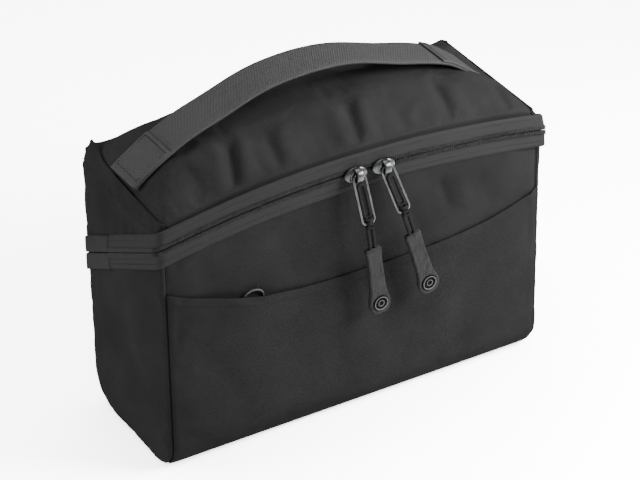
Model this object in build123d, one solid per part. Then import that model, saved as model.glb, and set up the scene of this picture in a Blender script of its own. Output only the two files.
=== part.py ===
"""Soft padded camera case: rounded body, front slip pocket, slanted zip, domed lid with a webbing handle.

Frame: millimetres, X is the width, the front faces -Y, Z is up.
The origin is the centre of the flat base, on the floor.
"""
from build123d import *
import math
import os

# Outer body
HALF_WIDTH = 135.5          # outer face of the side gussets
HALF_DEPTH = 50.0           # front and back faces
SEAM_X = 132.5              # front, base and back panels reach this far to each side
CORNER_R = 3.0              # upright corners seen from above
FRONT_BOTTOM_R = 11.0
BACK_BOTTOM_R = 28.0

# Layers, measured inwards from the outer face
SKIN = 1.6
FOAM = 7.0
LINING = 0.8
BOARD = 1.5

# Zip line: an arc over the front that slopes down towards the back
ZIP_Y = -54.0               # plane in which the arc is drawn
ZIP_MIDDLE_Z = 176.5
ZIP_RISE = 12.0             # middle of the arc above its corners
ZIP_HALF_CHORD = 132.0
ZIP_FALL = 0.53             # drop towards the back, mm per mm
ZIP_R = (ZIP_HALF_CHORD ** 2 + ZIP_RISE ** 2) / (2 * ZIP_RISE)
ZIP_CENTRE_Z = ZIP_MIDDLE_Z - ZIP_R
GAP = 1.0                   # half of the parting between body and lid
BAND = 12.0                 # half of the height of the zip band
BAND_BACK_Y = 44.0          # the band stops before the back corners

# Zip layers, measured outwards from the body's outer face
TAPE_IN, TAPE_OUT = 3.0, 4.0
COIL_OUT = 5.6
COIL_HEIGHT = 3.2
COIL_BACK_Y = 13.5
END_COVER_OUT = 5.4
WELT_START = 8.0
BAND_SLIM = 1.8             # the band stands out less at the sides than at the front

# Lid
LID_FOAM = 6.0
LID_TOP_Z = 207.5
LID_FRONT_Z = 190.5
LID_BACK_Z = 190.0
LID_LEAN_Z = 170.0          # the lid's sides lean inwards above this
LID_SHOULDER_X = 129.7
LID_CROWN_X = 100.0
LID_SEAM_FRONT_Z = 177.0
LID_SEAM_BACK_Z = 184.0
LID_BACK_EDGE = 3.0         # the top panel turns down this far before the back face

# Handle webbing: one arc over the lid
HANDLE_WIDTH = 30.0
HANDLE_T = 2.0
HANDLE_TOP_Z = 229.5
HANDLE_END_X = 132.0
HANDLE_END_Z = 184.5
HANDLE_DROP = HANDLE_TOP_Z - HANDLE_END_Z
HANDLE_R = (HANDLE_END_X ** 2 + HANDLE_DROP ** 2) / (2 * HANDLE_DROP)
HANDLE_CENTRE_Z = HANDLE_TOP_Z - HANDLE_R

# Front slip pocket
POCKET_T = 1.4
POCKET_PUFF = 5.2           # how far the pocket stands off in the middle
POCKET_HALF = 130.8
POCKET_BOTTOM = 11.5
POCKET_HEM = 4.0

# Dividers
DIVIDER_T = 7.0
DIVIDER_X = 44.0
HOOK_T = 0.8

# Slider and pull, local frame: origin in the zip line, y outwards is negative
SLIDER_W, SLIDER_H = 16.0, 10.0
PLATE_IN, PLATE_OUT = 6.2, 8.0
KEEPER_IN, KEEPER_OUT = 1.4, 2.2
WEB_T = 1.0
BRIDGE_HALF = 1.8
BRIDGE_OUT = 13.0
RING_AXIS_OUT = 10.1
RING_AXIS_UP = 1.0
WIRE_R = 0.9
RING_HALF = 4.1             # centreline half width
RING_LENGTH = 32.7          # centreline length
RING_CORNER_R = 3.0
CORD_R = 1.1
TAB_T = 4.5
TAB_TOP = 18.5              # below the ring's lower bar
TAB_LENGTH = 49.0
SIDES = {"left": (-4.6, 10.5, -6.7), "right": (14.9, 10.5, -16.7)}  # slider x, outward lean, sideways lean

FAR = 400.0


def box(x0, x1, y0, y1, z0, z1):
    """Box between two corners."""
    return Pos((x0 + x1) / 2, (y0 + y1) / 2, (z0 + z1) / 2) * Box(x1 - x0, y1 - y0, z1 - z0)


def yz_prism(points, x0, x1):
    """Polygon in the YZ plane, extruded from x0 to x1."""
    face = make_face(Polyline([(x0, y, z) for y, z in points], close=True))
    return extrude(face, amount=x1 - x0, dir=(1, 0, 0))


def xz_prism(points, y0, y1):
    """Polygon in the XZ plane, extruded from y0 to y1."""
    face = make_face(Polyline([(x, y0, z) for x, z in points], close=True))
    return extrude(face, amount=y1 - y0, dir=(0, 1, 0))


def plan(outset, z0, z1, slim=0.0):
    """Rounded rectangle seen from above, grown by outset and by slim less at the sides."""
    radius = max(CORNER_R + outset, 1.0)
    face = RectangleRounded(2 * (HALF_WIDTH + outset - slim), 2 * (HALF_DEPTH + outset), radius)
    return extrude(Pos(0, 0, z0) * face, amount=z1 - z0, dir=(0, 0, 1))


def under_zip(shift):
    """Everything below the slanted zip arc moved up by shift."""
    reach = 170.0
    y0 = ZIP_Y - 30.0
    lift = shift + 30.0 * ZIP_FALL
    edge = ZIP_CENTRE_Z + math.sqrt(ZIP_R ** 2 - reach ** 2) + lift
    arc = ThreePointArc((-reach, y0, edge), (0, y0, ZIP_MIDDLE_Z + lift), (reach, y0, edge))
    rest = Polyline((reach, y0, edge), (reach, y0, -FAR), (-reach, y0, -FAR), (-reach, y0, edge))
    length = 180.0 * math.sqrt(1 + ZIP_FALL ** 2)
    return extrude(make_face([arc, rest]), amount=length, dir=(0, 1, -ZIP_FALL))


def body_shape(inset):
    """Body's full outline moved inwards by inset, open-ended above."""
    front, back, low = -HALF_DEPTH + inset, HALF_DEPTH - inset, inset
    x0 = -HALF_WIDTH + inset
    face = make_face(Polyline([(x0, front, low), (x0, back, low), (x0, back, 230), (x0, front, 230)], close=True))
    solid = extrude(face, amount=-2 * x0, dir=(1, 0, 0))
    for pick, radius in ((0, FRONT_BOTTOM_R - inset), (-1, BACK_BOTTOM_R - inset)):
        low_edges = solid.edges().filter_by(Axis.X).filter_by(lambda e: e.center().Z < low + 0.01)
        if radius > 1:
            solid = fillet(low_edges.sort_by(Axis.Y)[pick], radius)
    ends = [f for f in solid.faces() if abs(abs(f.center().X) + x0) < 0.01]
    rims = [e for f in ends for e in f.edges() if e.center().Z < 229]
    if CORNER_R - inset > 1:
        solid = fillet(rims, CORNER_R - inset)
    return solid


def lid_dome(inset):
    """Solid below the lid's curved top, moved down by inset."""
    front = ThreePointArc((0, -50, LID_FRONT_Z), (0, -26.4, 203.2), (0, 0, LID_TOP_Z))
    back = TangentArc((0, 0, LID_TOP_Z), (0, 50, LID_BACK_Z), tangent=front % 1)
    start, end = front % 0, back % 1
    first = front @ 0 - start * 12
    last = back @ 1 + end * 12
    path = Wire([Edge.make_line(first, front @ 0), front.edge(), back.edge(), Edge.make_line(back @ 1, last)])
    top = first.Z - 1.15 * inset
    reach = 150.0
    edge = top - (ZIP_R - math.sqrt(ZIP_R ** 2 - reach ** 2))
    arc = ThreePointArc((-reach, first.Y, edge), (0, first.Y, top), (reach, first.Y, edge))
    low = top - 170
    rest = Polyline((reach, first.Y, edge), (reach, first.Y, low), (-reach, first.Y, low), (-reach, first.Y, edge))
    return sweep(make_face([arc, rest]), path, normal=(0, 1, 0))


def lid_section(inset):
    """Lid seen from the front: leaning sides and shoulders that follow the webbing."""
    radius = HANDLE_R - HANDLE_T - inset

    def shoulder(x):
        return HANDLE_CENTRE_Z + math.sqrt(radius ** 2 - x ** 2)

    side, knee, crown = HALF_WIDTH - inset, LID_SHOULDER_X - inset, LID_CROWN_X - inset / 2
    middle = (knee + crown) / 2
    y0 = -60.0
    edges = []
    for s in (1, -1):
        edges.append(Polyline((s * side, y0, 60), (s * side, y0, LID_LEAN_Z), (s * knee, y0, shoulder(knee))))
        edges.append(ThreePointArc(
            (s * knee, y0, shoulder(knee)), (s * middle, y0, shoulder(middle)), (s * crown, y0, shoulder(crown))))
        edges.append(Line((s * crown, y0, shoulder(crown)), (s * 90, y0, 225)))
    edges.append(Line((-90, y0, 225), (90, y0, 225)))
    edges.append(Line((-side, y0, 60), (side, y0, 60)))
    return extrude(make_face(edges), amount=120, dir=(0, 1, 0))


def lid_shape(inset):
    """Lid's full outline moved inwards by inset, open-ended below."""
    return lid_dome(inset) & lid_section(inset) & plan(-inset, 60, 230)


def band(inner, outer, low, high):
    """Strip round the front and sides, between two heights measured from the zip line."""
    ring = plan(outer, 60, 230, BAND_SLIM) - plan(inner, 60, 230, min(inner, BAND_SLIM))
    ring -= box(-FAR, FAR, BAND_BACK_Y, FAR, 0, FAR)
    return (ring & under_zip(high)) - under_zip(low)


def body_panels():
    """Outer cloth of the body."""
    skin = (body_shape(0) - body_shape(SKIN)) & under_zip(-GAP)
    middle = skin & box(-SEAM_X, SEAM_X, -60, 60, -1, 230)
    front_y = -HALF_DEPTH + FRONT_BOTTOM_R
    back_y = HALF_DEPTH - BACK_BOTTOM_R
    gusset = skin & box(-FAR, -SEAM_X, -60, 60, -1, 230)
    return {
        "front_panel": middle & box(-FAR, FAR, -60, front_y, -1, 230),
        "base_panel": middle & box(-FAR, FAR, front_y, back_y, -1, 230),
        "back_panel": middle & box(-FAR, FAR, back_y, 60, -1, 230),
        "gusset_left": gusset,
        "gusset_right": mirror(gusset, Plane.YZ),
    }


def body_inside():
    """Foam boards, stiffener and lining of the body."""
    deep = SKIN + FOAM
    foam = (body_shape(SKIN) - body_shape(deep)) & under_zip(-GAP)
    board = box(-120, 120, -34, 16, SKIN, SKIN + BOARD)
    front_y, back_y = -HALF_DEPTH + FRONT_BOTTOM_R, HALF_DEPTH - BACK_BOTTOM_R
    side_x = HALF_WIDTH - deep
    middle = foam & box(-side_x, side_x, -60, 60, -1, 230)
    return {
        "foam_front": middle & box(-FAR, FAR, -60, front_y, -1, 230),
        "foam_base": (middle & box(-FAR, FAR, front_y, back_y, -1, 230)) - board,
        "foam_back": middle & box(-FAR, FAR, back_y, 60, -1, 230),
        "foam_left": foam & box(-FAR, -side_x, -60, 60, -1, 230),
        "foam_right": foam & box(side_x, FAR, -60, 60, -1, 230),
        "base_board": board,
        "body_lining": (body_shape(deep) - body_shape(deep + LINING)) & under_zip(-GAP),
    }


def lid_panels():
    """Outer cloth of the lid."""
    skin = (lid_shape(0) - lid_shape(SKIN)) - under_zip(GAP)
    seam = yz_prism([(-60, 60), (60, 60), (60, LID_SEAM_BACK_Z), (-60, LID_SEAM_FRONT_Z)], -FAR, FAR)
    parts = {}
    sides = []
    for name, s in (("left", -1), ("right", 1)):
        wedge = xz_prism([(s * 131, 60), (s * 131, 166), (s * 122, 200), (s * 160, 200), (s * 160, 60)], -60, 60)
        wedge = wedge & seam
        parts["lid_side_" + name] = skin & wedge
        sides.append(wedge)
    back = box(-FAR, FAR, HALF_DEPTH - LID_BACK_EDGE, 60, 60, LID_SEAM_BACK_Z) - sides[0] - sides[1]
    parts["lid_back_panel"] = skin & back
    parts["lid_top_panel"] = skin - sides[0] - sides[1] - back
    return parts


def lid_inside():
    """Foam and lining of the lid."""
    deep = SKIN + LID_FOAM
    return {
        "lid_foam": (lid_shape(SKIN) - lid_shape(deep)) - under_zip(GAP),
        "lid_lining": (lid_shape(deep) - lid_shape(deep + LINING)) - under_zip(GAP),
    }


def zip_band():
    """Tapes, coils, welts and end covers of the zip."""
    ahead = box(-FAR, FAR, -FAR, COIL_BACK_Y, 0, FAR)
    parts = {
        "zip_tape_lower": band(TAPE_IN, TAPE_OUT, -BAND, -GAP),
        "zip_tape_upper": band(TAPE_IN, TAPE_OUT, GAP, BAND),
        "zip_coil_lower": band(TAPE_OUT, COIL_OUT, -COIL_HEIGHT, -GAP) & ahead,
        "zip_coil_upper": band(TAPE_OUT, COIL_OUT, GAP, COIL_HEIGHT) & ahead,
        "zip_welt_lower": band(0, TAPE_IN, -BAND, -WELT_START),
        "zip_welt_upper": band(0, TAPE_IN, WELT_START, BAND),
    }
    for half, low, high in (("lower", -BAND, -GAP), ("upper", GAP, BAND)):
        strip = band(TAPE_OUT, END_COVER_OUT, low, high)
        for side, x0, x1 in (("left", -FAR, 0), ("right", 0, FAR)):
            parts["zip_end_" + half + "_" + side] = strip & box(x0, x1, COIL_BACK_Y + 0.5, BAND_BACK_Y, 0, FAR)
    return parts


def handle():
    """Carry handle: a flat strip bent into one arc."""
    outer = Pos(0, 0, HANDLE_CENTRE_Z) * Rot(90, 0, 0) * Cylinder(HANDLE_R, HANDLE_WIDTH)
    inner = Pos(0, 0, HANDLE_CENTRE_Z) * Rot(90, 0, 0) * Cylinder(HANDLE_R - HANDLE_T, HANDLE_WIDTH)
    return (outer - inner) & box(-FAR, FAR, -60, 60, HANDLE_END_Z - 1.0, FAR)


def pocket_bow(puff):
    """Space between the front face and an arc that stands off by puff in the middle."""
    grow = puff - POCKET_PUFF
    half, y0 = POCKET_HALF + grow, -HALF_DEPTH
    arc = ThreePointArc((-half, y0 - grow, 0), (0, y0 - puff, 0), (half, y0 - grow, 0))
    corners = [(half, y0 - grow, 0), (-half, y0 - grow, 0)]
    if grow > 0:
        corners[1:1] = [(half, y0, 0), (-half, y0, 0)]
    rest = Polyline(corners)
    return extrude(Pos(0, 0, POCKET_BOTTOM) * make_face([arc, rest]), amount=130, dir=(0, 0, 1))


def pocket_mouth():
    """Everything below the scooped upper edge of the pocket."""
    y0 = -70.0
    points = [(-133, 127), (-86, 110.8), (-33, 105.6), (14, 104.2), (62, 105.0), (102, 109.4), (133, 122)]
    spots = [(x, y0, z) for x, z in points]
    edges = [ThreePointArc(*spots[i:i + 3]) for i in (0, 2, 4)]
    edges.append(Polyline(spots[-1], (133, y0, 0), (-133, y0, 0), spots[0]))
    return extrude(make_face(edges), amount=30, dir=(0, 1, 0))


def pocket():
    """Front slip pocket, sewn along both sides and the bottom, open above."""
    hollow = pocket_bow(POCKET_PUFF) & box(-POCKET_HALF + POCKET_HEM, POCKET_HALF - POCKET_HEM,
                                           -70, -40, POCKET_BOTTOM + POCKET_HEM, 160)
    return (pocket_bow(POCKET_PUFF + POCKET_T) - hollow) & pocket_mouth()


def pocket_loop():
    """Thin cord loop sewn to the front panel just inside the pocket."""
    radius, half, x0, foot, bend = 0.6, 7.0, -74.0, 94.0, 107.0
    y0 = -HALF_DEPTH - radius
    arc = ThreePointArc((x0 - half, y0, bend), (x0, y0, bend + half), (x0 + half, y0, bend))
    path = Wire([Edge.make_line((x0 - half, y0, foot), (x0 - half, y0, bend)), arc.edge(),
                 Edge.make_line((x0 + half, y0, bend), (x0 + half, y0, foot))])
    return sweep(Plane((x0 - half, y0, foot), z_dir=(0, 0, 1)) * Circle(radius), path)


def dividers():
    """Two padded dividers with a hook strip on each end."""
    inner = SKIN + FOAM + LINING + 0.5
    room = body_shape(inner + HOOK_T) & under_zip(-14)
    wide = body_shape(inner) & under_zip(-22) & box(-FAR, FAR, -60, 60, 40, FAR)
    parts = {}
    for name, x in (("left", -DIVIDER_X), ("right", DIVIDER_X)):
        pad = room & box(x - DIVIDER_T / 2, x + DIVIDER_T / 2, -60, 60, 0, FAR)
        strip = (wide - body_shape(inner + HOOK_T)) & box(x - 3, x + 3, -60, 60, 0, FAR)
        parts["divider_" + name] = pad
        parts["divider_hooks_front_" + name] = strip & box(-FAR, FAR, -60, 0, 0, FAR)
        parts["divider_hooks_back_" + name] = strip & box(-FAR, FAR, 0, 60, 0, FAR)
    return parts


def slider():
    """Zip slider: outer plate with a bridge, thin web in the parting, keeper behind the lower tape."""
    plate = Pos(0, -(PLATE_IN + PLATE_OUT) / 2, 0) * Box(SLIDER_W, PLATE_OUT - PLATE_IN, SLIDER_H)
    plate = fillet(plate.edges().filter_by(Axis.Y), 3.0)
    y_in, y_out = ZIP_Y + HALF_DEPTH + TAPE_OUT - KEEPER_IN, -PLATE_IN - 0.4

    def middle(y):
        return -ZIP_FALL * (y + TAPE_OUT)

    half = WEB_T / 2
    web = yz_prism([(y_in, middle(y_in) - half), (y_out, middle(y_out) - half),
                    (y_out, middle(y_out) + half), (y_in, middle(y_in) + half)], -5, 5)
    top = middle(-KEEPER_OUT) + half - 0.1
    keeper = box(-6.5, 6.5, -KEEPER_OUT, -KEEPER_IN, -7.0, top)
    bridge = yz_prism([(-7.9, 4.4), (-12.0, 4.4), (-BRIDGE_OUT, 3.4), (-BRIDGE_OUT, -2.4),
                       (-12.0, -3.4), (-7.9, -3.4)], -BRIDGE_HALF, BRIDGE_HALF)
    bridge -= box(-FAR, FAR, -BRIDGE_OUT + 1.2, -PLATE_OUT, -2.2, 3.2)
    return plate + web + keeper + bridge


def stadium(half, length, radius, wire):
    """Closed wire ring in the XZ plane hanging from the origin."""
    face = Rectangle(2 * half, length)
    outline = fillet(face.vertices(), radius).face().outer_wire()
    outline = Pos(0, 0, -length / 2) * Rot(90, 0, 0) * outline
    start = outline.position_at(0)
    return sweep(Plane(start, z_dir=outline.tangent_at(0)) * Circle(wire), outline)


def ring_parts():
    """Wire ring and the doubled cord inside it, hanging straight down from the ring's upper bar."""
    ring = stadium(RING_HALF, RING_LENGTH, RING_CORNER_R, WIRE_R)
    leg = RING_HALF - WIRE_R - CORD_R
    top, bottom = -8.5, 5.4 - RING_LENGTH
    arc = ThreePointArc((-leg, 0, top), (0, 0, top + leg), (leg, 0, top))
    path = Wire([Edge.make_line((-leg, 0, bottom), (-leg, 0, top)), arc.edge(),
                 Edge.make_line((leg, 0, top), (leg, 0, bottom))])
    cord = sweep(Plane((-leg, 0, bottom), z_dir=(0, 0, 1)) * Circle(CORD_R), path)
    return {"ring": ring, "ring_cord": cord}


def tab_face():
    """Outline of the moulded tab: slim waist and a round lobe below."""
    top, low = -TAB_TOP, -TAB_TOP - TAB_LENGTH
    lobe = low + 7.5
    edges = [
        Line((-5.6, top), (5.6, top)),
        ThreePointArc((5.6, top), (5.0, top - 16), (6.2, lobe + 4.2)),
        ThreePointArc((6.2, lobe + 4.2), (0, low), (-6.2, lobe + 4.2)),
        ThreePointArc((-6.2, lobe + 4.2), (-5.0, top - 16), (-5.6, top)),
    ]
    return make_face(edges)


def pull_parts():
    """Hitch, doubled cord, tab and badge, hanging straight down from the ring's lower bar."""
    leg, foot = 1.7, -TAB_TOP - 5.0
    arc = ThreePointArc((-leg, 0, foot), (0, 0, foot - leg), (leg, 0, foot))
    path = Wire([Edge.make_line((-leg, 0, -3.0), (-leg, 0, foot)), arc.edge(),
                 Edge.make_line((leg, 0, foot), (leg, 0, -3.0))])
    cord = sweep(Plane((-leg, 0, -3.0), z_dir=(0, 0, -1)) * Circle(CORD_R), path)
    hitch = box(-1.6, 1.6, -2.7, 2.7, -2.4, 3.0) + box(-3.0, 3.0, -2.2, 2.2, -7.0, -2.4)
    hitch = hitch - Rot(0, 90, 0) * Cylinder(1.3, 10) - cord
    tab = extrude(Rot(90, 0, 0) * tab_face(), amount=TAB_T / 2 - 0.5, both=True)
    raised = offset(tab_face(), amount=-0.8, kind=Kind.INTERSECTION)
    tab = tab + extrude(Rot(90, 0, 0) * raised, amount=TAB_T / 2, both=True) - cord
    centre = -TAB_TOP - TAB_LENGTH + 8.6
    seat = Pos(0, -TAB_T / 2, centre) * Rot(90, 0, 0)
    tab -= seat * Cylinder(5.3, 1.0)
    badge = seat * (Pos(0, 0, 0.0) * Cylinder(5.3, 1.0) + Pos(0, 0, 0.6) * (Cylinder(4.9, 0.6) - Cylinder(4.2, 0.6))
                    + Pos(0, 0, 0.6) * Cylinder(2.0, 0.6))
    return {"hitch": hitch, "pull_cord": cord, "tab": tab, "badge": badge}


def pull_sets():
    """Both sliders with their rings and pulls, placed along the zip arc."""
    parts = {}
    for side, (x, outward, sideways) in SIDES.items():
        angle = math.degrees(math.asin(x / ZIP_R))
        place = Pos(0, -HALF_DEPTH, ZIP_CENTRE_Z) * Rot(0, angle, 0) * Pos(0, 0, ZIP_R)
        parts["slider_" + side] = place * slider()
        upper = place * Pos(0, -RING_AXIS_OUT, RING_AXIS_UP) * Rot(0, sideways - angle, 0)
        hang = upper * Rot(-outward, 0, 0)
        for name, shape in ring_parts().items():
            parts[name + "_" + side] = hang * shape
        lower = hang * Pos(0, 0, -RING_LENGTH) * Rot(outward, 0, 0)
        for name, shape in pull_parts().items():
            parts[name + "_" + side] = lower * shape
        print(side, "slider angle", round(angle, 3), "ring axis", upper.position, "pull axis", lower.position)
    return parts


def main():
    os.makedirs("parts", exist_ok=True)
    parts = {}
    for group in (body_panels, body_inside, lid_panels, lid_inside, zip_band, dividers, pull_sets):
        parts.update(group())
    parts["handle_webbing"] = handle()
    parts["pocket_panel"] = pocket()
    parts["pocket_loop"] = pocket_loop()
    for name, shape in parts.items():
        solids = shape.solids()
        if len(solids) != 1:
            print("not one solid:", name, len(solids), [round(s.volume, 2) for s in solids])
        else:
            export_step(solids[0], "parts/" + name + ".step")


main()
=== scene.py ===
"""Blender look of the soft padded camera case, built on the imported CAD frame.

Sizes in this script are millimetres in the row frame until a mesh or curve is made.
"""
import math

import bpy
import numpy as np
from mathutils import Matrix, Vector


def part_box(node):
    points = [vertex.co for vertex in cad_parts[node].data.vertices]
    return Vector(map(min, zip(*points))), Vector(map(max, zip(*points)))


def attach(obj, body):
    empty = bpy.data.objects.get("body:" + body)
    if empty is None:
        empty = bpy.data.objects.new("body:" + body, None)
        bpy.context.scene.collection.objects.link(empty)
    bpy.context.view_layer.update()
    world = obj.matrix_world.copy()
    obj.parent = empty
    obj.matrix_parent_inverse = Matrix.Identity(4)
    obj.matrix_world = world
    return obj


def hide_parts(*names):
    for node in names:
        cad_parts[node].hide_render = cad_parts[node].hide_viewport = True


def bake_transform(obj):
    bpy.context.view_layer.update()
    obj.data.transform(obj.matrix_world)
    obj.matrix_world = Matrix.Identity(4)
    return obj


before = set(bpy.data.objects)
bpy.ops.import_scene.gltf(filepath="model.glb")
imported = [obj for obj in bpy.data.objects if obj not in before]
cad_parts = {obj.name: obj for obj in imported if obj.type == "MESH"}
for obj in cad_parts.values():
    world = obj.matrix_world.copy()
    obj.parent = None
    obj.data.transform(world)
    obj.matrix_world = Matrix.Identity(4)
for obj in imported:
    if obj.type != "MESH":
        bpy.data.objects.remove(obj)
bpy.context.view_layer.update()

MM = 0.001

# Body and lid, as in the CAD model
HALF_WIDTH, HALF_DEPTH = 135.5, 50.0
SEAM_X, CORNER_R = 132.5, 3.0
FRONT_BOTTOM_R, BACK_BOTTOM_R = 18.0, 28.0
FRONT_BEND_Y, BACK_BEND_Y = FRONT_BOTTOM_R - HALF_DEPTH, HALF_DEPTH - BACK_BOTTOM_R
GUSSET_LOW_ROWS = [0, 0.0005, 0.0015, 0.004, 0.008, 0.014, 0.021, 0.03, 0.042]
SIDES = (("left", -1), ("right", 1))
WALL = 8.8
ZIP_R = 732.0
ZIP_CENTRE_Z = 176.5 - ZIP_R
ZIP_FALL, ZIP_Y = 0.53, -54.0
BAND_BACK_Y, COIL_BACK_Y = 44.0, 13.5
BAND_SLIM = 0.45            # share by which the band stands out less at the sides
LID_LEAN_Z, LID_SHOULDER_X, LID_SHOULDER_Z = 170.0, 129.7, 183.8
DOME_R, DOME_CENTRE_Z = 80.9, 126.6
HANDLE_R, HANDLE_CENTRE_Z, HANDLE_HALF = 216.1, 13.4, 15.0
HINGE_Z = 109.0
STRAP_THICK, FOLD_TURN = 1.7, 8.4       # the fold's length is a turn in degrees
BOX_STITCH_HALF = 12.6
LINING_FLOOR_Z = 9.4
DIVIDER_X, DIVIDER_DROP = 44.0, 14.2
BASE_FRONT_Y, BASE_BACK_Y = -39, 22
SHELL_THICK, BACK_THICK, BASE_THICK = 1.2, 1.0, 1.4
FLOOR_HALF, FLOOR_Z = 6000.0, -0.3
STITCH_SHIFT = 8.25         # distance of the band's stitches from the zip line

# Zip pulls: ring pivot, lower pivot, sideways lean in degrees, slider's x
PULLS = {
    "left": ((-4.606, -60.1, 177.486), (-0.855, -66.059, 145.553), 6.7, -4.6),
    "right": ((14.920, -60.1, 177.348), (24.160, -66.059, 146.552), 16.7, 14.9),
}
RING_LEAN = 10.5
RING_LENGTH = 32.7
TAB_TOP, TAB_LOW, BADGE_Z = -18.5, -67.5, -58.9


# ---------------------------------------------------------------- shape helpers

def zip_z(x, y, shift=0.0):
    """Height of the zip line, moved up by shift."""
    arch = ZIP_CENTRE_Z + np.sqrt(ZIP_R ** 2 - np.asarray(x) ** 2)
    return arch - ZIP_FALL * (np.asarray(y) - ZIP_Y) + shift


def soft_min(a, b, width):
    """Smaller of two heights with a rounded join."""
    h = np.clip(0.5 + 0.5 * (b - a) / width, 0.0, 1.0)
    return b * (1 - h) + a * h - width * h * (1 - h)


def dome_z(x, y):
    """Height of the lid's top."""
    x, y = np.asarray(x, float), np.asarray(y, float)
    crown = DOME_CENTRE_Z + np.sqrt(DOME_R ** 2 - y ** 2) + np.sqrt(ZIP_R ** 2 - x ** 2) - ZIP_R
    shoulder = HANDLE_CENTRE_Z - 0.2 + np.sqrt((HANDLE_R - 2.0) ** 2 - x ** 2)
    return soft_min(crown, shoulder, 4.0)


def lid_z(x, y):
    """Height of the lid's top cloth, which meets the side seams at its two ends."""
    edge = edge_x(y)
    rise = np.minimum(seam_z(y), 190.0) - dome_z(edge, y)
    return dome_z(x, y) + rise * np.exp(-np.maximum(edge - np.abs(x), 0.0) / 8.0)


def edge_x(y):
    """Half width of the lid's top at one depth, following the leaning side and the corners."""
    over = np.clip(np.abs(y) - (HALF_DEPTH - CORNER_R), 0, CORNER_R)
    return lean_x(seam_z(y)) - CORNER_R + np.sqrt(CORNER_R ** 2 - over ** 2)


def lean_x(z):
    """Half width of the lid's sides at a height."""
    share = np.clip((np.asarray(z) - LID_LEAN_Z) / (LID_SHOULDER_Z - LID_LEAN_Z), 0.0, 1.0)
    return HALF_WIDTH - (HALF_WIDTH - LID_SHOULDER_X) * share


def seam_z(y):
    """Height of the seam between the lid's side and top."""
    return 180.4 + np.asarray(y, float) * 0.058


def slump(points):
    """The soft upper part leans a little to the left, more so on the right half and higher up."""
    moved = np.array(points, float)
    high = np.interp(moved[..., 2], [150, 165, 177, 188, 200, 230], [0, 1.2, 3.5, 6.0, 8.0, 9.5])
    side = np.clip((moved[..., 0] + 132) / 110, 0, 1)
    moved[..., 0] -= high * side * side * (3 - 2 * side)
    return moved


def ripple(x, y, z, scale, seed):
    """Smooth repeatable unevenness between about -1 and 1."""
    a = np.sin(x / scale * 1.7 + seed) * np.cos(z / scale * 1.3 + 2.1 * seed)
    b = np.sin(y / scale * 1.9 + 1.3 * seed + z / scale * 0.7)
    c = np.sin((x + z) / scale * 0.8 + 3.7 * seed) * np.sin((y - x) / scale * 1.1 + seed)
    return 0.45 * a + 0.25 * b + 0.3 * c


def crease(px, py, ax, ay, bx, by, width):
    """Bump height of one fold line from a to b, 1 on the line and 0 away from it."""
    dx, dy = bx - ax, by - ay
    length = math.hypot(dx, dy)
    along = ((px - ax) * dx + (py - ay) * dy) / length ** 2
    across = ((px - ax) * dy - (py - ay) * dx) / length
    ends = smooth_step(np.minimum(along, 1 - along) * 3.0 + 0.35)
    return np.exp(-(across / width) ** 2) * ends


def creases(px, py, *lines):
    """Sum of fold lines, each given as height, ax, ay, bx, by, width."""
    return sum(height * crease(px, py, *line) for height, *line in lines)


def spread(a, b, count):
    """Evenly spaced values from a to b."""
    return np.linspace(a, b, count)


def smooth_step(value):
    """0 below 0, 1 above 1 and a smooth rise between."""
    value = np.clip(value, 0, 1)
    return value * value * (3 - 2 * value)


def seam_tuck(distance, depth=0.9, width=1.4):
    """How far cloth is drawn in near a seam."""
    return depth * np.exp(-distance / width)


def arc(cx, cy, radius, start, stop, count):
    """Points on a circular arc; angles in degrees."""
    turn = np.radians(spread(start, stop, count))
    return np.stack([cx + radius * np.cos(turn), cy + radius * np.sin(turn)], axis=1)


def rounded_loop(corners, radius, steps, counts):
    """Points through four rounded corners (centre and first angle), with straight runs between them."""
    turns = [arc(cx, cy, radius, start, start + 90, steps) for cx, cy, start in corners]
    line = []
    for k, turn in enumerate(turns):
        after = turns[(k + 1) % 4][0]
        line += [*turn, *np.linspace(turn[-1], after, counts[k % 2])[1:-1]]
    return line


def new_object(name, mesh):
    """Object for a mesh, curve, light or camera, linked to the scene."""
    obj = bpy.data.objects.new(name, mesh)
    bpy.context.scene.collection.objects.link(obj)
    return obj


def mesh_object(name, points, faces, uvs=None):
    """Smooth object from points in millimetres and faces, with optional per-point UVs."""
    mesh = bpy.data.meshes.new(name)
    mesh.from_pydata([tuple(p) for p in np.asarray(points, float) * MM], [], [tuple(f) for f in faces])
    if uvs is not None:
        layer = mesh.uv_layers.new(name="UVMap")
        index = np.zeros(len(mesh.loops), int)
        mesh.loops.foreach_get("vertex_index", index)
        layer.data.foreach_set("uv", np.asarray(uvs, float)[index].ravel())
    mesh.polygons.foreach_set("use_smooth", [True] * len(mesh.polygons))
    mesh.update()
    return new_object(name, mesh)


def grid_faces(rows, cols, start=0):
    """Quads of a rows x cols point grid."""
    corners = [start + i * cols + j for i in range(rows - 1) for j in range(cols - 1)]
    return [(a, a + 1, a + cols + 1, a + cols) for a in corners]


def grid_uv(points):
    """UVs in centimetres from the distances along a point grid."""
    du = np.linalg.norm(np.diff(points, axis=1), axis=2)
    dv = np.linalg.norm(np.diff(points, axis=0), axis=2)
    u = np.concatenate([np.zeros((len(points), 1)), np.cumsum(du, axis=1)], axis=1)
    v = np.concatenate([np.zeros((1, points.shape[1])), np.cumsum(dv, axis=0)], axis=0)
    u = u - u[:, u.shape[1] // 2][:, None]
    return np.stack([u, v], axis=2).reshape(-1, 2) / 10.0


def grid_object(name, points, flip=False, leaning=True):
    """Smooth sheet from a rows x cols x 3 grid."""
    rows, cols = points.shape[:2]
    faces = grid_faces(rows, cols)
    if flip:
        faces = [f[::-1] for f in faces]
    placed = slump(points) if leaning else points
    return mesh_object(name, placed.reshape(-1, 3), faces, grid_uv(points))


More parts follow.
